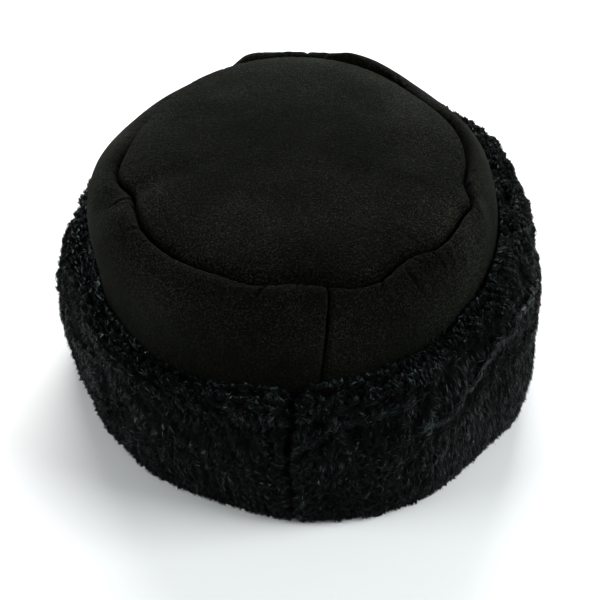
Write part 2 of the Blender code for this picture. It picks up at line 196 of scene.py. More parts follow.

# Base colours of the dyed suede and of the wool, from their deepest to their lightest places. The
# wool is dyed black; its pile and the strands' roots are darker still, as painted shade among the
# strands.
SUEDE_COLOURS = ((0.0021, 0.0021, 0.0016), (0.0044, 0.0043, 0.0033))
INSIDE_COLOURS = ((0.0025, 0.0025, 0.0024), (0.007, 0.007, 0.0066))
PILE_COLOURS = ((0.0003, 0.0003, 0.0003), (0.0009, 0.001, 0.001))
STRAND_COLOURS = ((0.0005, 0.0005, 0.0005), (0.0039, 0.005, 0.0049))

# The photograph's camera: degrees above level, metres from its aim, the aim's height, metres to a
# pixel there, and the picture's width in pixels.
CAMERA_ELEVATION = 38.5
CAMERA_DISTANCE = 1.3
AIM_HEIGHT = 0.038
METRES_PER_PIXEL = 0.000485
PICTURE_WIDTH = 600
FLOOR_RADIUS = 3.0

# Soft rectangular lights, with their powers in watts.
LIGHTS = table(
    "name place aim size power colour",
    ("far_key", (0, -1.55, 0.9), (0, 0, 0.08), (1.3, 0.8), 58, (1, 1, 1)),
    ("left_side", (1.3, 0.45, 0.5), (0, 0, 0.06), (0.9, 0.9), 17, (0.94, 0.99, 1)),
    ("right_side", (-1.25, 0.3, 0.7), (0, 0, 0.06), (0.9, 0.9), 26, (0.94, 0.99, 1)),
)
WORLD_STRENGTH = 0.22


def hermite(share, before, start, end, after, reach, reach_before, reach_after):
    """Smooth value between start and end, with slopes taken from the neighbours."""
    slope_start = (end - before) / (reach + reach_before) * reach
    slope_end = (after - start) / (reach + reach_after) * reach
    cube = share**3
    square = share**2
    return (
        (2 * cube - 3 * square + 1) * start
        + (cube - 2 * square + share) * slope_start
        + (3 * square - 2 * cube) * end
        + (cube - square) * slope_end
    )


def around(rows, column, turn):
    """The values of a table's column at an array of turns, smooth and closed round the circle."""
    turns = np.array([row.turn for row in rows], float)
    values = np.array([getattr(row, column) for row in rows], float)
    turn = np.mod(turn, 360.0)
    after = np.searchsorted(turns, turn, side="right")
    at = [(after + step) % len(rows) for step in (-2, -1, 0, 1)]
    gaps = [np.mod(turns[at[k + 1]] - turns[at[k]], 360.0) for k in range(3)]
    share = np.mod(turn - turns[at[1]], 360.0) / gaps[1]
    return hermite(share, *[values[k] for k in at], gaps[1], gaps[0], gaps[2])


def along(points, share):
    """The points at shares of the way along a line of points, smooth between them."""
    line = np.array(points, float)
    place = np.clip(share, 0.0, 1.0) * (len(line) - 1)
    k = np.minimum(place.astype(int), len(line) - 2)
    ends = [line[np.clip(k + step, 0, len(line) - 1)] for step in (-1, 0, 1, 2)]
    part = (place - k)[..., None]
    made = hermite(part, *ends, 1, 1, 1)
    return made[..., 0], made[..., 1]


def ramp(value, low, high):
    """A smooth rise from 0 at low to 1 at high."""
    share = np.clip((value - low) / (high - low), 0.0, 1.0)
    return share * share * (3 - 2 * share)


def bell(distance, width):
    """A soft bump that is 1 at no distance and dies away over a width."""
    return np.exp(-((distance / width) ** 2))


def unit(vectors):
    """The vectors at length one."""
    return vectors / np.maximum(np.linalg.norm(vectors, axis=-1, keepdims=True), 1e-12)


def on_oval(turn, out, height):
    """Points at turns, distances out from the head oval, and heights."""
    angle = np.radians(turn)
    x = -(HEAD_HALF_WIDTH + out) * np.sin(angle)
    y = (HEAD_HALF_LENGTH + out) * np.cos(angle)
    return np.stack([x, y, np.broadcast_to(height, x.shape)], axis=-1)


def leaning(points):
    """The points moved with the crown, which leans to the wearer's left."""
    moved = points.copy()
    moved[..., 0] += CROWN_LEAN * ramp(points[..., 2], BAND_TUCK, CROWN_HEIGHT)
    return moved


def slant(height):
    """How far in degrees the crown's seams and bends have turned at a height."""
    return BAND_TWIST * (1 - height / CROWN_HEIGHT)


def arc_of(turn):
    """The distance round the crown from the hat's back."""
    return np.mod(turn, 360) / 360 * ROUND


def arc_from(turn, other):
    """The distance round the crown from another turn to a turn, below zero where it runs back."""
    return (np.mod(turn - other + 180, 360) - 180) / 360 * ROUND


def seam_out(turn):
    """How far out from the head oval the tip seam lies."""
    return WALL - TIP_INSET * (1 - around(SEAM_LINE, "out", turn))


def seam_height(turn):
    """The height of the root of the tip seam."""
    return CROWN_HEIGHT + PUFF * around(SEAM_LINE, "up", turn)


def band_face(turn):
    """How far out the band's face lies at the foot of its shoulder."""
    return WALL + BAND_BULGE * (1 + around(BAND_LINE, "face", turn))


def wall_out(turn, height):
    """How far out the band's wall lies at a height."""
    foot = seam_height(turn) + PUFF - SHOULDER_DROP
    share = np.clip((height - BAND_TUCK) / (foot - BAND_TUCK), 0.0, 1.0)
    return WALL + (band_face(turn) - WALL) * share


def value_noise(x, y, size, seed, wrap=None):
    """Smooth noise between -1 and 1 with lumps of a size, closed over x where wrap is given."""
    columns = 64 if wrap is None else max(4, round(wrap / size))
    cell = size if wrap is None else wrap / columns
    grid = np.random.default_rng(seed).uniform(-1, 1, (64, columns))
    i = np.floor(x / cell).astype(int)
    j = np.floor(y / size).astype(int)
    fx = x / cell - i
    fy = y / size - j
    fx = fx * fx * (3 - 2 * fx)
    fy = fy * fy * (3 - 2 * fy)
    near = grid[j % 64, i % columns] * (1 - fx) + grid[j % 64, (i + 1) % columns] * fx
    far = grid[(j + 1) % 64, i % columns] * (1 - fx) + grid[(j + 1) % 64, (i + 1) % columns] * fx
    return near * (1 - fy) + far * fy


def layered(x, y, *layers):
    """A sum of smooth noises closed round the hat, each with its amount, its size and its seed."""
    return sum(amount * value_noise(x, y, size, seed, ROUND) for amount, size, seed in layers)


def cell_noise(x, y, size, seed, wrap):
    """For each place its distances to the two nearest cells, the nearest's middle and its number.

    The distances are shares of a cell's size. The cells are closed over x, round the hat."""
    columns = max(4, round(wrap / size))
    cell = wrap / columns
    rows = 128
    shift = np.random.default_rng(seed).uniform(0.08, 0.92, (rows, columns, 2))
    i = np.floor(x / cell).astype(int)
    j = np.floor(y / cell).astype(int)
    nearest = np.full(x.shape, 1e9)
    second = np.full(x.shape, 1e9)
    middle = np.zeros(x.shape + (2,))
    which = np.zeros(x.shape, int)
    for row in (-1, 0, 1):
        for column in (-1, 0, 1):
            ci = (i + column) % columns
            cj = (j + row) % rows
            at = (np.stack([i + column, j + row], axis=-1) + shift[cj, ci]) * cell
            apart = np.hypot(x - at[..., 0], y - at[..., 1])
            closer = apart < nearest
            second = np.where(closer, nearest, np.minimum(second, apart))
            nearest = np.where(closer, apart, nearest)
            middle = np.where(closer[..., None], at, middle)
            which = np.where(closer, cj * columns + ci, which)
    return nearest / cell, second / cell, middle, which


def mesh_piece(name, points, polygons, skins, slots=None, smooth=True):
    """An object from an array of points and a list of arrays of polygons, all of one length each."""
    mesh = bpy.data.meshes.new(name)
    corners = np.concatenate([p.ravel() for p in polygons]).astype(np.int32)
    sizes = np.concatenate([np.full(len(p), p.shape[1]) for p in polygons]).astype(np.int32)
    starts = np.concatenate([[0], np.cumsum(sizes)[:-1]]).astype(np.int32)
    mesh.vertices.add(len(points))
    mesh.vertices.foreach_set("co", points.astype(np.float32).ravel())
    mesh.loops.add(len(corners))
    mesh.loops.foreach_set("vertex_index", corners)
    mesh.polygons.add(len(sizes))
    mesh.polygons.foreach_set("loop_start", starts)
    mesh.polygons.foreach_set("use_smooth", np.full(len(sizes), smooth))
    for skin in skins:
        mesh.materials.append(skin)
    if slots is not None:
        mesh.polygons.foreach_set("material_index", slots.astype(np.int32))
    mesh.update(calc_edges=True)
    mesh.validate()
    made = bpy.data.objects.new(name, mesh)
    bpy.context.scene.collection.objects.link(made)
    return made


def grid_quads(columns, rows, closed_round, closed_over):
    """Quads of a grid whose points are numbered column by column, facing out of the hat."""
    across = np.arange(columns if closed_round else columns - 1)
    up = np.arange(rows if closed_over else rows - 1)
    i, j = np.meshgrid(across, up, indexing="ij")
    beside = (i + 1) % columns
    over = (j + 1) % rows
    quads = np.stack([i * rows + j, beside * rows + j, beside * rows + over, i * rows + over], -1)
    return quads.reshape(-1, 4)


def normals_of(points):
    """Outward normals of a grid of points whose first axis runs round the hat."""
    step_round = np.roll(points, -1, axis=0) - np.roll(points, 1, axis=0)
    step_up = np.gradient(points, axis=1)
    return unit(np.cross(step_round, step_up))


class Nodes:
    """A material's node tree with short calls for adding nodes and links."""

    def __init__(self, name):
        self.material = bpy.data.materials.new(name)
        self.material.use_nodes = True
        self.tree = self.material.node_tree
        self.shader = self.tree.nodes["Principled BSDF"]
        self.place = self.tree.nodes.new("ShaderNodeTexCoord").outputs["Object"]

    def put(self, socket, value):
        """Links another socket into a socket, or sets a plain number or colour there."""
        if isinstance(value, bpy.types.NodeSocket):
            self.tree.links.new(value, socket)
        else:
            socket.default_value = (*value, 1.0) if isinstance(value, tuple) else value

    def settings(self, node=None, **values):
        """Puts values into the inputs of a node, or else of the shader, by their names."""
        for key, value in values.items():
            self.put((node or self.shader).inputs[key.replace("_", " ")], value)

    def add(self, kind, **values):
        node = self.tree.nodes.new(kind)
        for key, value in values.items():
            setattr(node, key, value)
        return node

    def noise(self, scale, detail, roughness):
        node = self.add("ShaderNodeTexNoise")
        self.settings(node, Scale=scale, Detail=detail, Roughness=roughness, Vector=self.place)
        return node.outputs["Fac"]

    def ramp(self, value, stops):
        """Colours at stops of a value, where a plain number stands for a grey."""
        node = self.add("ShaderNodeValToRGB")
        ends = node.color_ramp.elements
        while len(ends) < len(stops):
            ends.new(0.5)
        for end, (place, colour) in zip(ends, stops):
            end.position = place
            end.color = (*colour, 1.0) if isinstance(colour, tuple) else (colour, colour, colour, 1.0)
        self.settings(node, Fac=value)
        return node.outputs["Color"]

    def mix(self, share, first, second, blend="MIX"):
        node = self.add("ShaderNodeMix", data_type="RGBA", blend_type=blend)
        for index, value in ((0, share), (6, first), (7, second)):
            self.put(node.inputs[index], value)
        return node.outputs[2]

    def bump(self, height, strength, distance, **under):
        node = self.add("ShaderNodeBump")
        self.settings(node, Height=height, Strength=strength, Distance=distance, **under)
        return node.outputs["Normal"]

    def rough_up(self, coarse, fine):
        """Bumps of a coarse and of a fine noise, each a value with its strength and its distance."""
        self.settings(Normal=self.bump(*fine, Normal=self.bump(*coarse)))


def suede_material():
    """Black dyed suede: a short nap that lies this way and that, with a soft sheen at its edges.

    The points' own tones multiply it, as painted shade and painted light, and their alpha tells how
    strong its grain is."""
    made = Nodes("black_suede_nap")
    # Patches of the nap, lighter and darker at random.
    nap_and_painted_light = made.noise(30.0, 3.0, 0.55)
    grain = made.noise(1250.0, 3.0, 0.7)
    fibres = made.noise(420.0, 3.0, 0.6)
    tone = made.ramp(nap_and_painted_light, [(0.32, SUEDE_COLOURS[0]), (0.68, SUEDE_COLOURS[1])])
    speck = made.ramp(grain, [(0.38, 0.07), (0.51, 0.58), (0.64, (5.3, 5.3, 5.1))])
    # The points' own colours: painted shade and painted light on the suede, and in their alpha the
    # strength of its grain.
    own = made.add("ShaderNodeVertexColor", layer_name="painted_light_and_grain")
    tone = made.mix(1.0, tone, own.outputs["Color"], "MULTIPLY")
    speck = made.mix(own.outputs["Alpha"], (1.3, 1.3, 1.3), speck)
    made.settings(Base_Color=made.mix(1.0, tone, speck, "MULTIPLY"))
    made.rough_up((fibres, 0.4, 0.001), (grain, 1.0, 0.0009))
    made.settings(Roughness=made.ramp(nap_and_painted_light, [(0.3, 0.96), (0.7, 0.84)]), Specular_IOR_Level=0.02)
    made.settings(Sheen_Weight=0.013, Sheen_Roughness=0.22, Sheen_Tint=(0.56, 1.0, 0.66))
    return made.material


def pile_material(name, colours):
    """Black wool seen between its strands: dark, matt and fine-grained."""
    made = Nodes(name)
    lumps = made.noise(420.0, 3.0, 0.6)
    grain = made.noise(2200.0, 2.0, 0.6)
    made.settings(Base_Color=made.ramp(lumps, [(0.35, colours[0]), (0.7, colours[1])]))
    made.rough_up((lumps, 0.8, 0.0012), (grain, 0.6, 0.0004))
    made.settings(Roughness=0.9, Specular_IOR_Level=0.05, Sheen_Weight=0.01, Sheen_Roughness=0.5)
    return made.material


def strand_material():
    """Dyed wool fibres, whose colour comes from the strands' own colours, which hold painted light and
    shade, and a fine noise.
    """
    made = Nodes("black_wool_strands")
    own = made.add("ShaderNodeVertexColor", layer_name="wool")
    speck = made.ramp(made.noise(900.0, 2.0, 0.6), [(0.3, 0.7), (0.7, (1.35, 1.35, 1.4))])
    made.settings(Base_Color=made.mix(1.0, own.outputs["Color"], speck, "MULTIPLY"))
    made.settings(Roughness=0.36, Specular_IOR_Level=0.065, Specular_Tint=(0.8, 1.0, 0.97))
    made.settings(Sheen_Weight=0.007, Sheen_Roughness=0.28, Sheen_Tint=(0.62, 0.95, 1.0))
    return made.material


def floor_material():
    """A plain pale studio floor."""
    made = Nodes("studio_floor")
    grey = made.ramp(made.noise(3.0, 2.0, 0.5), [(0.3, 0.9), (0.7, 0.92)])
    made.settings(Base_Color=grey, Roughness=0.9, Specular_IOR_Level=0.1)
    return made.material


def rolled(distance, reach):
    """Share of the puff reached at a distance from a seam, as a pillow's rounded edge.

    The edge is rounded over a reach in millimetres."""
    edge = np.sqrt(1 - (1 - np.clip(distance / (reach * 0.001), 0, 1)) ** 2)
    root = 0.3 * np.exp(-distance / 0.0007)
    return 0.7 * edge + 0.3 * (1 - np.exp(-distance / (1.6 * ROLL))) - root


def colour_points(made, name, rgba):
    """Gives a piece's points their own colours, each with an alpha, in a layer of that name."""
    layer = made.data.color_attributes.new(name, "FLOAT_COLOR", "POINT")
    layer.data.foreach_set("color", rgba.astype(np.float32).ravel())


def painted_light_and_grain(made, tones, grain):
    """Gives a piece's points the tones of painted shade and painted light that its suede is multiplied
    by, and its grain's strength.
    """
    rgba = np.ones((len(made.data.vertices), 4), np.float32)
    rgba[:, :3] = tones.reshape(-1, 1)
    # Painted sheen: where the tones are painted lighter than 1 they are also tinted green.
    rgba[:, 1] *= 1 + 0.15 * np.clip(rgba[:, 0] - 1, 0, 1)
    rgba[:, 3] = grain.reshape(-1)
    colour_points(made, "painted_light_and_grain", rgba)


def tip_heights(share, turn):
    """Heights of the tip's suede and of its wool side at shares of the way out to the seam."""
    radius = (HEAD_HALF_WIDTH + HEAD_HALF_LENGTH) / 2 + WALL - TIP_INSET
    risen = rolled((1 - share) * radius, around(SEAM_ROLLS, "tip", turn))
    level = CROWN_HEIGHT + (seam_height(turn) - CROWN_HEIGHT) * share**3
    top = level + PUFF * risen + TIP_RISE * (1 - share**2)
    return top, top - PINCHED_WALL - (WALL - PINCHED_WALL) * risen


def gathers(turn, distance, seed):
    """Shallow puckers that run away from a seam, as depths at turns and distances from it."""
    random = np.random.default_rng(seed)
    depth = np.zeros(turn.shape)
    place = 0.0
    while place < 360.0:
        size = random.uniform(0.15, 0.85) * 0.001
        length = random.uniform(0.0035, 0.01)
        width = random.uniform(0.0007, 0.0014)
        skew = random.uniform(-0.35, 0.35)
        apart = arc_from(turn, place) - skew * distance
        depth += size * np.exp(-((apart / width) ** 2) - (distance / length) ** 2)
        place += random.uniform(2.4, 7.0)
    return depth


def make_tip(suede, wool):
    """The domed tip: its suede top, its edge in the seam, and its wool side."""
    columns, rings, under_rings = 420, 52, 14
    turn = np.linspace(0, 360, columns, endpoint=False)[:, None]
    share = 1 - (1 - np.linspace(0.004, 1.0, rings)) ** 2.1
    top_share = share[None, :] + 0 * turn
    under_share = np.linspace(1.0, 0.02, under_rings)[None, :] + 0 * turn
    turn_top = turn + 0 * top_share
    turn_under = turn + 0 * under_share

    def placed(shares, turns, heights):
        flat = on_oval(turns + slant(heights), seam_out(turns) - SEAM_GAP, heights)
        flat[..., 0] *= shares
        flat[..., 1] *= shares
        return flat

    top = tip_heights(top_share, turn_top)[0]
    flat = placed(top_share, turn_top, top)
    x, y = flat[..., 0], flat[..., 1]
    radius = (HEAD_HALF_WIDTH + HEAD_HALF_LENGTH) / 2
    distance = (1 - top_share) * radius
    fade = 1 - np.exp(-distance / 0.0025)
    soft = value_noise(x + 0.3, y + 0.3, 0.034, 5) * 0.0007
    soft += value_noise(x + 0.3, y + 0.3, 0.013, 6) * 0.00022
    flat[..., 2] += fade * (soft * ramp(distance, 0.0, 0.02) - gathers(turn_top, distance, 21))
    under = tip_heights(under_share, turn_under)[1]
    below = placed(under_share, turn_under, under)
    lumps = value_noise(below[..., 0] + 0.3, below[..., 1] + 0.3, 0.006, 8)
    below[..., 2] -= 0.0008 * (1 + lumps) * ramp(1 - under_share, 0.0, 0.06)
    rows = rings + under_rings
    points = leaning(np.concatenate([flat, below], axis=1)).reshape(-1, 3)
    # Painted light on the tip's suede: lighter towards the hat's front as painted sheen, lighter at its
    # sides as painted light from the sides, and a little lighter towards the hat's back.
    nap_and_painted_light = 0.52 + 0.95 * ramp(-y, 0.0, 0.095) + 0.45 * ramp(np.abs(x), 0.025, 0.08)
    nap_and_painted_light = nap_and_painted_light + 0.24 * ramp(y, 0.0, 0.05)
    # Painted shade in the groove of the tip seam.
    tones = np.concatenate([nap_and_painted_light * (1 - 0.8 * bell(distance, 0.0008)), 1 + 0 * under], axis=1)
    quads = grid_quads(columns, rows, True, False)[:, ::-1]
    first = np.arange(columns) * rows
    caps = [first[None, :], (first + rows - 1)[::-1][None, :]]
    strip = np.tile(np.arange(rows - 1), columns)
    slots = np.concatenate([(strip >= rings - 1).astype(int), [0, 1]])
    made = mesh_piece("suede_tip", points, [quads, *caps], [suede, wool], slots)
    painted_light_and_grain(made, tones, 1 + 0 * tones)
    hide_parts("crown_tip")
    return made


def band_profile(turn, ends, rows):
    """The band's outer face at turns, as (out, height, distance from the tip seam)."""
    shoulder_rows, wall_rows = rows
    start = seam_out(turn)
    face = band_face(turn)
    crest = seam_height(turn) + PUFF
    sag = SHOULDER_DROP * around(BAND_LINE, "crest", turn)
    dip = sum(SEAM_DIP * 0.8 * (1 - rolled(np.abs(arc_from(turn, end)), 3.5)) for end in ends)
    dip = dip * np.where(np.cos(np.radians(turn)) < 0, 0.5, 1.0)
    eased = np.linspace(0, 1, shoulder_rows + 1) ** 1.7
    angle = (math.pi / 2 * eased)[None, :]
    reach = (face - start) * np.sin(angle)
    fade = rolled(reach, around(SEAM_ROLLS, "band", turn))
    height = crest - SHOULDER_DROP * (1 - np.cos(angle)) - PUFF * (1 - fade)
    height = height + (sag - dip) * fade * np.cos(angle)
    out = start + reach - dip * fade * np.sin(angle)
    top = crest - SHOULDER_DROP
    share = np.linspace(0, 1, wall_rows + 1)[None, 1:]
    wall = top + (BAND_FOOT - top) * share
    wall_face = wall_out(turn, wall) - dip
    out = np.concatenate([out, wall_face], axis=1)
    height = np.concatenate([height, wall], axis=1)
    steps = np.hypot(np.diff(out, axis=1), np.diff(height, axis=1))
    distance = np.concatenate([np.zeros((len(out), 1)), np.cumsum(steps, axis=1)], axis=1)
    return out, height, distance


def wrinkled(turn, distance):
    """Depths of the band's wrinkles at turns and distances down from the tip seam."""
    depth = np.zeros(distance.shape)
    for k, w in enumerate(WRINKLES):
        arc = arc_from(turn, w.turn)
        down = distance - w.down * 0.001
        run = np.array([(w.turn_end - w.turn) / 360 * ROUND, (w.down_end - w.down) * 0.001])
        length = np.hypot(*run)
        ahead = (arc * run[0] + down * run[1]) / length
        beside = (arc * run[1] - down * run[0]) / length
        share = ahead / length
        beside = beside + 0.0009 * np.sin(3.1 * share + k)
        ends = ramp(share, -0.12, 0.18) * (1 - ramp(share, 0.55, 1.15))
        width = w.width * 0.0006
        shoulders = bell(np.abs(beside) - 2.6 * width, 1.8 * width)
        depth += ends * w.depth * 0.001 * (bell(beside, width) - 0.25 * shoulders)
    return depth


def band_outside(turn, ends, rows):
    """The band's outer face with its puckers and wrinkles, and what its tones are worked out from.

    These are how far each point lies from the band's ends and from the tip seam, and the depth of
    its wrinkles."""
    out, height, distance = band_profile(turn, ends, rows)
    outside = on_oval(turn + slant(height), out, height)
    normal = unit(np.cross(np.gradient(outside, axis=1), np.gradient(outside, axis=0)))
    apart = np.minimum(*[np.abs(arc_from(turn, end)) for end in ends])
    arc = arc_of(turn) + 0 * distance
    soft = layered(arc, distance, (0.0006, 0.03, 31), (0.00025, 0.011, 32))
    soft = soft * ramp(distance, 0.003, 0.018)
    pucker = 0.00035 * value_noise(arc * 0 + distance, arc * 0, 0.006, 33) * bell(apart, 0.006)
    folded = wrinkled(turn, distance)
    moved = soft - gathers(turn + 0 * distance, distance, 22) - folded + pucker
    moved = moved * (1 - np.exp(-distance / 0.0022)) * ramp(height, BAND_TUCK - 0.012, BAND_TUCK)
    return outside + normal * moved[..., None], (apart, distance, folded)


def band_inside(turn, rows):
    """The band's wool side, from the tip seam down to the foot."""
    top = seam_height(turn) - PINCHED_WALL
    drop = SHOULDER_DROP - (WALL - PINCHED_WALL)
    share = np.linspace(0, 1, rows)[None, :]
    bent = math.pi / 2 * np.clip(share / 0.4, 0, 1)
    fallen = np.clip((share - 0.4) / 0.6, 0, 1)
    out = seam_out(turn) * (1 - np.sin(bent))
    height = top - drop * (1 - np.cos(bent)) + (BAND_FOOT - top + drop) * fallen
    arc = arc_of(turn) + 0 * share
    lumps = layered(arc, height + 0.2, (1, 0.007, 34), (0.5, 0.0035, 35))
    out = out - 0.0006 * (1.5 + lumps) * ramp(share, 0.02, 0.12)
    return on_oval(turn + slant(height), out, height)


def band_tones(turn, apart, distance, folded):
    """How light the band's suede is painted, as painted light and shade, and how strong its grain.

    Painted shade makes it darker at its seams, in its wrinkles, beside the tip seam, towards the cuff
    and at the hat's back; painted light makes it lighter at its sides and at the hat's front."""
    sides = np.abs(np.sin(np.radians(turn)))
    # Painted shade beside the tip seam, reaching further where the band's rounded edge is wider.
    soft = np.clip(around(SEAM_ROLLS, "band", turn) - 1.8, 0, 4) * 0.12
    tones = 1 - 0.8 * bell(distance, 0.0008) - 0.7 * bell(apart, 0.0009)
    tones = tones - soft * bell(distance, 0.0065)
    tones = tones * (1 - 0.35 * ramp(distance, 0.03, 0.062))
    tones = tones * (1 - 0.35 * np.clip(folded / 0.0008, 0, 1))
    tones = tones * (0.8 + 0.34 * ramp(sides, 0.4, 0.9))
    tones = tones * (1 + 0.35 * ramp(-np.cos(np.radians(turn)), 0.5, 0.95))
    return np.clip(tones, 0.15, 1.2), 0.74 + 0.14 * ramp(sides, 0.4, 0.9)


def make_band(name, node, first, last, suede, wool):
    """Half of the side band: suede outside, wool inside, its ends in the band's seams."""
    columns, shoulder_rows, wall_rows, inside_rows = 460, 48, 20, 10
    shares = np.linspace(0, 1, columns)
    shares = shares - 0.45 * np.sin(math.tau * shares) / math.tau
    gap = math.degrees(SEAM_GAP / 2 / (HEAD_HALF_LENGTH + WALL))
    turn = (first + gap + (last - first - 2 * gap) * shares)[:, None]
    outside, marks = band_outside(turn, (first, last), (shoulder_rows, wall_rows))
    inside = band_inside(turn, inside_rows)
    points = leaning(np.concatenate([outside, inside[:, ::-1]], axis=1))
    rows = points.shape[1]
    quads = grid_quads(columns, rows, False, True)[:, ::-1]
    near_end = np.arange(rows)[None, :]
    far_end = ((columns - 1) * rows + np.arange(rows))[::-1][None, :]
    strip = np.tile(np.arange(rows), columns - 1)
    slots = np.concatenate([(strip >= shoulder_rows + wall_rows).astype(int), [0, 0]])
    made = mesh_piece(name, points.reshape(-1, 3), [quads, near_end, far_end], [suede, wool], slots)
    tones, grain = band_tones(turn, *marks)
    tones = np.concatenate([tones, np.ones((columns, inside_rows))], axis=1)
    painted_light_and_grain(made, tones, grain + 0 * tones)
    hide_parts(node)
    return made


def from_parting(turn, share):
    """The distance round the cuff from its wandering parting, at turns and shares of the way up."""
    line = PARTING_PLACE + 0.0013 * np.sin(9.0 * share + 0.6) + 0.0007 * np.sin(23.0 * share)
    return arc_from(turn, CUFF_JOINT) - line


def cuff_surface(turn, share):
    """The cuff's smooth outer face at turns and at shares of the way from foot to band."""
    apart = from_parting(turn, share)
    high = ramp(share, 0.6, 0.92)
    parting = bell(apart, 0.0017 + 0.0042 * high)
    lobes = bell(np.abs(apart) - 0.0095, 0.0055) * high
    top = CUFF_HEIGHT * around(CUFF_LINE, "height", turn) - PARTING_SINK * parting
    lift = CUFF_HEIGHT * np.maximum(0.0, around(CUFF_LINE, "lift", turn))
    depth = CUFF_THICKNESS * around(CUFF_LINE, "fullness", turn)
    crease_depth = 0.0032 * around(CUFF_LINE, "crease_depth", turn)
    crease_up = around(CUFF_LINE, "crease_up", turn)
    out, up = along(CUFF_OUTSIDE, share)
    wander = 0.03 * value_noise(turn / 360 * ROUND, share * 0, 0.03, 41, ROUND)
    creased = crease_depth * bell((share - crease_up - wander) * FACE_LENGTH, 0.0055) * out
    height = lift + np.maximum(0.0, up) * (top - PILE_INSET * 0.7 - lift)
    height = height + 0.005 * ramp(share, 0.84, 0.98)
    face = wall_out(turn - slant(height), height) + CUFF_GAP
    full = depth - PILE_INSET - (0.003 + 0.0078 * high) * parting + 0.0012 * lobes
    body = np.maximum(0.0, out) * full - creased
    return leaning(on_oval(turn, face + np.maximum(body, 0.0), height + 0.0012 * lobes * (up > 0.8)))


def fold_wander(arc, up):
    """How far the wool's folds wander off their straight lines."""
    return 0.0022 * value_noise(arc, up, 0.009, 81, ROUND)


def fold_start(fold):
    """A fold's start, as a distance round the hat and a height up the cuff's face."""
    return np.array([fold.turn / 360 * ROUND, fold.share * FACE_LENGTH])


def fold_run(fold):
    """The step from a fold's start to its end, round the hat and up the cuff's face."""
    return np.array([arc_from(fold.turn_end, fold.turn), (fold.share_end - fold.share) * FACE_LENGTH])


def wool_folds(arc, up):
    """How far the wool's folds raise it, in millimetres, the tones that they give as painted light on
    raised folds and painted shade in sunk ones, and their push.

    The push moves strands towards a raised fold and away from a sunk one."""
    rise = np.zeros(up.shape)
    tone = np.ones(up.shape)
    push = np.zeros((*up.shape, 2))
    wander = fold_wander(arc, up)
    for f in WOOL_FOLDS:
        start, run = fold_start(f), fold_run(f)
        away = np.mod(arc - start[0] + ROUND / 2, ROUND) - ROUND / 2
        over = up + wander - start[1]
        ahead = np.clip((away * run[0] + over * run[1]) / (run @ run), 0, 1)
        from_line = np.stack([away - ahead * run[0], over - ahead * run[1]], axis=-1)
        apart = np.linalg.norm(from_line, axis=-1)
        here = bell(apart, f.width * 0.001)
        rise = np.where(np.abs(f.rise) * here > np.abs(rise), f.rise * here, rise)
        tone = np.where(np.abs(f.tone - 1) * here > np.abs(tone - 1), 1 + (f.tone - 1) * here, tone)
        near = bell(apart, f.width * 0.0026) * (1.3 if f.rise < 0 else -0.6)
        push = push + unit(from_line) * near[..., None]
    return rise, tone, push


def on_ridges(random, count):
    """Places along the wool's raised folds, as arcs and heights, and the way each fold runs."""
    raised = [f for f in WOOL_FOLDS if f.rise > 0]
    starts = np.array([fold_start(f) for f in raised])
    runs = np.array([fold_run(f) for f in raised])
    reach = np.linalg.norm(runs, axis=-1)
    which = random.choice(len(raised), count, p=reach / reach.sum())
    places = starts[which] + runs[which] * random.uniform(0, 1, (count, 1))
    ways = runs[which] / reach[which][:, None]
    across = np.stack([-ways[:, 1], ways[:, 0]], axis=-1)
    places = places + across * random.normal(0, 0.0008, (count, 1))
    arc = np.mod(places[:, 0], ROUND)
    return arc, places[:, 1] - fold_wander(arc, places[:, 1]), ways


def tufts(arc, up, streak, size, seed):
    """The tufts of a size on the cuff's face, some drawn out towards the band.

    Gives how far inside its border each place lies, from 0 to 1, its way from the tuft's middle as
    a share of the size, and which tuft it is."""
    bent = arc + 0.45 * size * value_noise(arc, up, 1.7 * size, seed + 1, ROUND)
    over = up + 0.45 * size * value_noise(arc, up, 1.7 * size, seed + 2, ROUND)
    drawn = streak > 0.5 + 0.35 * value_noise(arc, up, 3.0 * size, seed + 3, ROUND)
    slim, shrink = 0.62 * size, 0.4
    fields = []
    for x, y, cell, first in ((bent, over, size, 0), (bent, over * shrink, slim, 100000)):
        nearest, second, middle, which = cell_noise(x, y, cell, seed, ROUND)
        away = np.stack([x - middle[..., 0], y - middle[..., 1]], axis=-1) / cell
        fields.append((np.clip((second - nearest) * 1.9, 0, 1), away, which + first))
    inside = np.where(drawn, fields[1][0], fields[0][0])
    away = np.where(drawn[..., None], fields[1][1], fields[0][1])
    return inside, away, np.where(drawn, fields[1][2], fields[0][2])


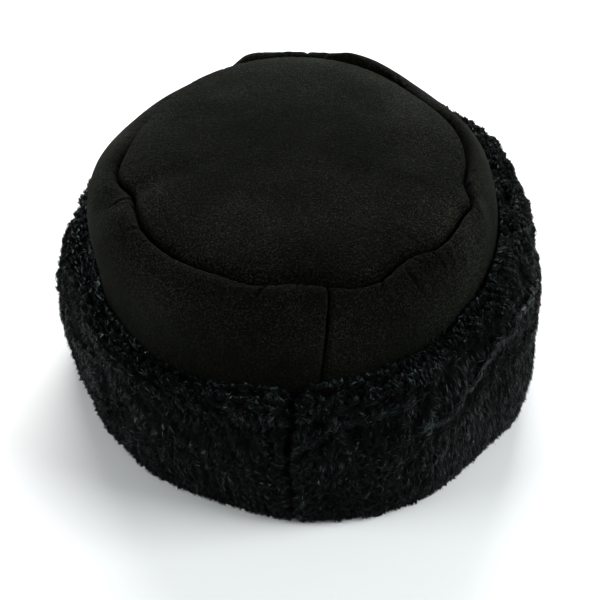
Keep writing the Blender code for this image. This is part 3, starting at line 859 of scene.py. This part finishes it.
def lumpiness(turn, share):
    """How far the wool's lumps stand out, larger towards the cuff's top edge, and its painted shade.

    The second value is painted shade for how deep the wool lies: it runs from 0 in the cracks and pits
    to 1 on the tufts, is darker low on the cuff and in its crease, and varies at random in patches."""
    arc = arc_of(turn) + 0 * share
    up = share * FACE_LENGTH
    upper = ramp(share, 0.38, 0.62)
    streak = around(WOOL_COMB, "streak", turn) + 0 * share
    large = layered(arc, up, (1.6, 0.026, 42), (1.4, 0.012, 43))
    big = tufts(arc, up, 0.8 * streak, BIG_TUFT, 44)[0]
    small = tufts(arc, up, streak, SMALL_TUFT, 52)[0]
    nearest, _, _, which = cell_noise(arc, up, 0.015, 47, ROUND)
    pit = bell(nearest, 1 / 3.6) * (which % 10 < 4) * ramp(share, 0.25, 0.5)
    crack = bell(value_noise(arc, up, 0.018, 48, ROUND), 0.11)
    crack = crack * ramp(value_noise(arc, up, 0.03, 51, ROUND), -0.1, 0.3)
    rise, tone, _ = wool_folds(arc, up)
    edge = ramp(share, 0.0, 0.06) * (1 - 0.7 * ramp(share, 0.92, 0.99))
    relief = (0.85 + 0.15 * upper) * large + (1.4 + 0.8 * upper) * (big - 0.6)
    relief = relief + (0.9 + 0.2 * upper) * (small - 0.6)
    relief = relief - 3.0 * pit - (1.0 + 0.8 * upper) * crack + rise
    # Painted shade: darker in the pits and cracks and between the tufts.
    lit = (0.25 + 0.75 * big) * (0.15 + 0.85 * small) * (1 - 0.9 * pit) * (1 - 0.8 * crack)
    patch = 1 + 0.5 * value_noise(arc, up, 0.008, 54, ROUND)
    patch = patch + 0.3 * value_noise(arc, up, 0.018, 55, ROUND)
    # Painted shade: darker low on the cuff and in its crease.
    low = 0.6 + 0.4 * ramp(share, 0.12, 0.42)
    crease = bell((share - around(CUFF_LINE, "crease_up", turn)) * FACE_LENGTH, 0.0045)
    low = low * (1 - 0.45 * around(CUFF_LINE, "crease_depth", turn) * crease)
    return edge * 0.001 * relief, lit * np.minimum(tone, 1.0) * patch * low


def make_pile(wool):
    """The lumpy pile of the cuff, a closed ring that the strands stand on.

    With it come grids of the smooth face under it, of its lumps and of its painted shade."""
    columns, rows, inner_rows = 800, 84, 5
    turn = CUFF_JOINT + np.linspace(0, 360, columns, endpoint=False)[:, None]
    share = np.linspace(0, 1, rows)[None, :] + 0 * turn
    smooth = cuff_surface(turn, share)
    lumps, lit = lumpiness(turn, share)
    outside = smooth + normals_of(smooth) * lumps[..., None]
    outside[..., 2] = np.maximum(outside[..., 2], 0.0004)
    top = outside[:, -1, 2][:, None]
    in_share = np.linspace(0, 1, inner_rows)[None, 1:]
    height = top * (1 - in_share) + 0.004 * in_share
    face = wall_out(turn - slant(height), height) + CUFF_GAP
    inner = leaning(on_oval(turn, face, height))
    foot = leaning(on_oval(turn, WALL + CUFF_GAP + 0.0024 + 0 * turn, 0.0004 + 0 * turn))
    points = np.concatenate([outside, inner, foot], axis=1)
    quads = grid_quads(columns, points.shape[1], True, True)
    made = mesh_piece("wool_pile", points.reshape(-1, 3), [quads], [wool])
    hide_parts("cuff")
    return made, (smooth, lumps, lit)


def looked_up(grid, turn, share):
    """Values of a grid over the cuff's face at turns and shares, blended between its points."""
    columns, rows = grid.shape[:2]
    x = np.mod(turn - CUFF_JOINT, 360) / 360 * columns
    y = np.clip(share, 0, 1) * (rows - 1)
    i = np.floor(x).astype(int)
    j = np.minimum(np.floor(y).astype(int), rows - 2)
    fx, fy = x - i, y - j
    if grid.ndim > 2:
        fx, fy = fx[:, None], fy[:, None]
    i, beside = i % columns, (i + 1) % columns
    low = grid[i, j] * (1 - fx) + grid[beside, j] * fx
    high = grid[i, j + 1] * (1 - fx) + grid[beside, j + 1] * fx
    return low * (1 - fy) + high * fy


def keep_clear(points):
    """Holds strands off the floor and off the band's face."""
    x, y, z = np.moveaxis(points, -1, 0)
    z[:] = np.maximum(z, 0.0005)
    lean = CROWN_LEAN * ramp(z, BAND_TUCK, CROWN_HEIGHT)
    turn = np.degrees(np.arctan2(-(x - lean), y))
    out = wall_out(turn - slant(z), z) + 0.0004
    reach = np.hypot((x - lean) / (HEAD_HALF_WIDTH + out), y / (HEAD_HALF_LENGTH + out))
    outward = np.where(z < 0.098, np.maximum(1.0, 1 / np.maximum(reach, 1e-6)), 1.0)
    x[:] = (x - lean) * outward + lean
    y[:] = y * outward
    return points


def strand_ways(arc, up, share, streak, away, own):
    """Which way strands lean over the pile, as steps round and up; the shorter, the more they stand.

    The wool meets in a ridge along the cuff's fold, lies up against the band above it and hangs
    below it. The strands of a tuft come together over its middle."""
    comb = np.interp(share, [r.share for r in WOOL_LEAN], [r.lean for r in WOOL_LEAN])
    comb = comb * (0.25 + 0.65 * streak)
    calm = 1 - 0.75 * streak
    swirl = [value_noise(arc, up, 0.014, seed, ROUND) for seed in (61, 62)]
    loose = [calm * (0.55 * swirl[k] + 0.6 * (own[:, k] - 0.5) - 0.9 * away[:, k]) for k in (0, 1)]
    ways = np.stack([loose[0] - 0.35 * streak * away[:, 0], loose[1] + comb], axis=-1)
    ways = ways + wool_folds(arc, up)[2]
    length = np.maximum(np.linalg.norm(ways, axis=-1, keepdims=True), 1e-6)
    return ways / length * np.clip(length, 0.5, 0.93)


def strand_roots(random, count):
    """Where strands stand: all over the cuff, more of them beside the band, a few along its folds.

    Gives the places as arcs and heights, which strands stand beside the band, which ride on a fold,
    and the fold's way."""
    turn = CUFF_JOINT + random.uniform(0, 360, count)
    share = random.uniform(0.01, 0.998, count)
    fringe = random.uniform(0, 1, count) < 0.07
    share = np.where(fringe, random.uniform(0.86, 0.97, count), share)
    rider = np.arange(count) < 0.02 * count
    ridge_arc, ridge_up, ridge_way = on_ridges(random, count)
    arc = np.where(rider, ridge_arc, arc_of(turn))
    up = np.where(rider, ridge_up, share * FACE_LENGTH)
    return arc, up, fringe, rider, ridge_way


def strand_lines(arc, up, way, length, bend, heights, pile):
    """Points along strands from root to tip, over the smooth face of the pile.

    The bend is their curl and their wave. The heights are those of root, tip and standing wool."""
    surface, normal = pile
    (curl, wave), (root, tip, stands) = bend, heights
    beside = from_parting(arc / ROUND * 360, up / FACE_LENGTH)
    open_way = np.sign(beside) * bell(beside, 0.0045)
    line = []
    for s in np.linspace(0, 1, STRAND_JOINTS):
        turned = curl * s
        across_way = np.cos(turned) * way[:, 0] - np.sin(turned) * way[:, 1]
        up_way = np.sin(turned) * way[:, 0] + np.cos(turned) * way[:, 1]
        sideways = wave * math.sin(math.tau * s)
        at_arc = arc + length * s * across_way - sideways * up_way + 0.0015 * s * open_way
        at_turn = at_arc / ROUND * 360
        at_share = (up + length * s * up_way + sideways * across_way) / FACE_LENGTH
        above = root + (tip - root) * s + stands * (1.3 * s - 0.3 * s * s) - 0.0002 * (1 - s)
        outward = unit(looked_up(normal, at_turn, at_share))
        point = looked_up(surface, at_turn, at_share) + outward * above[:, None]
        point[:, 2] += 0.8 * np.maximum(0.0, at_share - 1) * FACE_LENGTH
        line.append(point)
    return keep_clear(np.stack(line, axis=1))


def ribbons(line, out, tilt, width):
    """Points and polygons of flat ribbons along lines, each with a pointed end."""
    tangent = unit(np.gradient(line, axis=1))
    across = unit(np.cross(tangent, out[:, None, :] + 0.02))
    over = unit(np.cross(across, tangent))
    sideways = across * np.cos(tilt)[:, None, None] + over * np.sin(tilt)[:, None, None]
    taper = np.array([0.8, 1.1, 0.8])[None, :, None]
    half = sideways[:, :-1] * taper * (width / 2)[:, None, None]
    points = np.concatenate([line[:, :-1] - half, line[:, :-1] + half, line[:, -1:]], axis=1)
    joints, each = line.shape[1], points.shape[1]
    base = (np.arange(len(line)) * each)[:, None]
    steps = [np.array([k, k + 1, k + joints, k + joints - 1])[None, :] for k in range(joints - 2)]
    quads = np.concatenate([base + step for step in steps])
    ends = base + np.array([joints - 2, each - 1, 2 * joints - 3])[None, :]
    return points.reshape(-1, 3), [quads, ends]


def colour_strands(made, tone):
    """Gives the ribbons' points their own colours, from roots darkened as painted shade to light ends,
    times a tone.
    """
    lightness = np.array([0.12, 0.6, 1.0])
    lightness = np.concatenate([lightness, lightness, [0.9]])[None, :, None]
    deep, high = np.array(STRAND_COLOURS)
    colour = (deep + (high - deep) * lightness) * tone[:, None, None]
    colour_points(made, "wool", np.concatenate([colour, np.ones(colour.shape[:2] + (1,))], axis=-1))


def make_strands(name, count, seed, pile, skin):
    """A mesh of thin strands that stand in tufts on the cuff's pile, a few of them loose."""
    random = np.random.default_rng(seed)
    surface, lumps, lit = pile
    normal = normals_of(surface)
    arc, up, fringe, rider, ridge_way = strand_roots(random, count)
    turn, share = arc / ROUND * 360, up / FACE_LENGTH
    streak = around(WOOL_COMB, "streak", turn)
    _, away, tuft = tufts(arc, up, streak, SMALL_TUFT, 52)
    own = np.random.default_rng(90).uniform(0, 1, (tuft.max() + 1, 4))[tuft]
    way = strand_ways(arc, up, share, streak, away, own) + random.normal(0, 0.1, (count, 2))
    way[:, 1] = np.where(fringe & ~rider, np.abs(way[:, 1]) + 0.3, way[:, 1])
    way = np.where(rider[:, None], 0.85 * ridge_way + random.normal(0, 0.2, (count, 2)), way)
    kind = random.uniform(0, 1, count)
    wisp = kind < 0.3
    stray = kind > 0.93
    length = random.uniform(*STRAND_LENGTHS, count) * np.where(wisp, 1.2, 1.0)
    stands = np.sqrt(np.maximum(0.1, 1 - np.sum(way**2, axis=-1))) * np.where(stray, 0.7, 0.42) * length
    curl = (own[:, 2] - 0.5) * (1.2 - streak) + random.normal(0, 0.12, count)
    wave = 0.00022 * np.sin(own[:, 3] * math.tau + random.normal(0, 0.5, count))
    end_turn = (arc + length * way[:, 0]) / ROUND * 360
    end_share = (up + length * way[:, 1]) / FACE_LENGTH
    root = looked_up(lumps, turn, share) + 0.0007 * rider
    tip = 0.5 * root + 0.5 * looked_up(lumps, end_turn, end_share)
    line = strand_lines(arc, up, way, length, (curl, wave), (root, tip, stands), (surface, normal))
    out = unit(looked_up(normal, turn, share))
    tilt = random.normal(0, 0.45, count)
    width = np.where(wisp, WISP_WIDTH, np.where(stray, STRAY_WIDTH, STRAND_WIDTH))
    points, polygons = ribbons(line, out, tilt, width * random.uniform(0.8, 1.2, count))
    made = mesh_piece(name, points, polygons, [skin])

    lock = tufts(arc, up, streak, LOCK, 58)[2]
    lock_tone = np.exp(np.random.default_rng(91).normal(0, 0.52, lock.max() + 1))[lock]
    middle = (arc + 0.6 * length * way[:, 0], up + 0.6 * length * way[:, 1])
    # Painted light and shade in the strands' tones: lighter beside the band, on raised folds and on the
    # cuff's top, darker in the parting, in sunk folds, pits and cracks and low on the cuff, and lighter
    # or darker round the hat; the rest varies at random by lock and strand.
    tone = np.where(wisp, 1.8, 0.66) * np.exp(random.normal(0, 0.22, count)) * (0.45 + own[:, 3])
    tone = tone * lock_tone * (1 + 0.35 * fringe) * wool_folds(*middle)[1]
    tone = tone * (1 - 0.75 * bell(from_parting(turn, share), 0.0016))
    tone = tone * (0.05 + 2.3 * np.maximum(looked_up(lit, turn, share), 0) ** 1.5)
    top = 1 + (around(WOOL_COMB, "top", turn) - 1) * ramp(share, 0.62, 0.76)
    colour_strands(made, tone * around(WOOL_COMB, "tone", turn) * top)
    return made


def make_floor(skin):
    """A wide flat floor under the hat."""
    columns = 96
    turn = np.linspace(0, 360, columns, endpoint=False)
    rings = [on_oval(turn, size + 0 * turn, 0 * turn) for size in (0.0, FLOOR_RADIUS)]
    points = np.concatenate([np.stack(rings, axis=1).reshape(-1, 3), [[0.0, 0.0, 0.0]]])
    quads = grid_quads(columns, 2, True, False)[:, ::-1]
    first = np.arange(columns) * 2
    fans = np.stack([np.full(columns, len(points) - 1), first, np.roll(first, -1)], axis=1)[:, ::-1]
    mesh_piece("studio_floor", points, [quads, fans], [skin], smooth=False)


def put_in_scene(name, data, place, way):
    """An object for a light or a camera, at a place and looking a way."""
    made = bpy.data.objects.new(name, data)
    made.location = place
    made.rotation_euler = way.to_track_quat("-Z", "Y").to_euler()
    bpy.context.scene.collection.objects.link(made)
    return made


def make_light(row):
    """A light at its place, turned to its aim."""
    data = bpy.data.lights.new(row.name, "AREA")
    data.shape = "RECTANGLE"
    data.size, data.size_y = row.size
    data.energy = row.power
    data.color = row.colour
    put_in_scene(row.name, data, row.place, Vector(row.aim) - Vector(row.place))


def make_camera():
    """The photograph's view: from behind the hat and above it."""
    elevation = math.radians(CAMERA_ELEVATION)
    back = Vector((0.0, math.cos(elevation), math.sin(elevation)))
    data = bpy.data.cameras.new("camera")
    data.lens = CAMERA_DISTANCE / METRES_PER_PIXEL / PICTURE_WIDTH * data.sensor_width
    place = Vector((0.0, 0.0, AIM_HEIGHT)) + back * CAMERA_DISTANCE
    bpy.context.scene.camera = put_in_scene("camera", data, place, -back)


def make_world():
    """Weak white light from all round."""
    world = bpy.data.worlds.new("studio")
    world.use_nodes = True
    background = world.node_tree.nodes["Background"]
    background.inputs["Color"].default_value = (1.0, 1.0, 1.0, 1.0)
    background.inputs["Strength"].default_value = WORLD_STRENGTH
    bpy.context.scene.world = world


def main():
    make_camera()
    make_world()
    for row in LIGHTS:
        make_light(row)
    bpy.context.scene.view_settings.view_transform = "Standard"
    make_floor(floor_material())
    suede = suede_material()
    inner = pile_material("black_wool_inside", INSIDE_COLOURS)
    pile = pile_material("black_wool_pile", PILE_COLOURS)
    strands = strand_material()
    crown = [
        make_tip(suede, inner),
        make_band("suede_band_right", "band_right", BACK_SEAM, FRONT_SEAM, suede, inner),
        make_band("suede_band_left", "band_left", FRONT_SEAM, BACK_SEAM + 360, suede, inner),
    ]
    pile_piece, faces = make_pile(pile)
    wool = [pile_piece]
    count = STRANDS
    for k in range(PIECES_OF_STRANDS):
        wool.append(make_strands(f"wool_strands_{k + 1}", count, 70 + k, faces, strands))
    for piece in crown + wool:
        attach(piece, "root")


main()
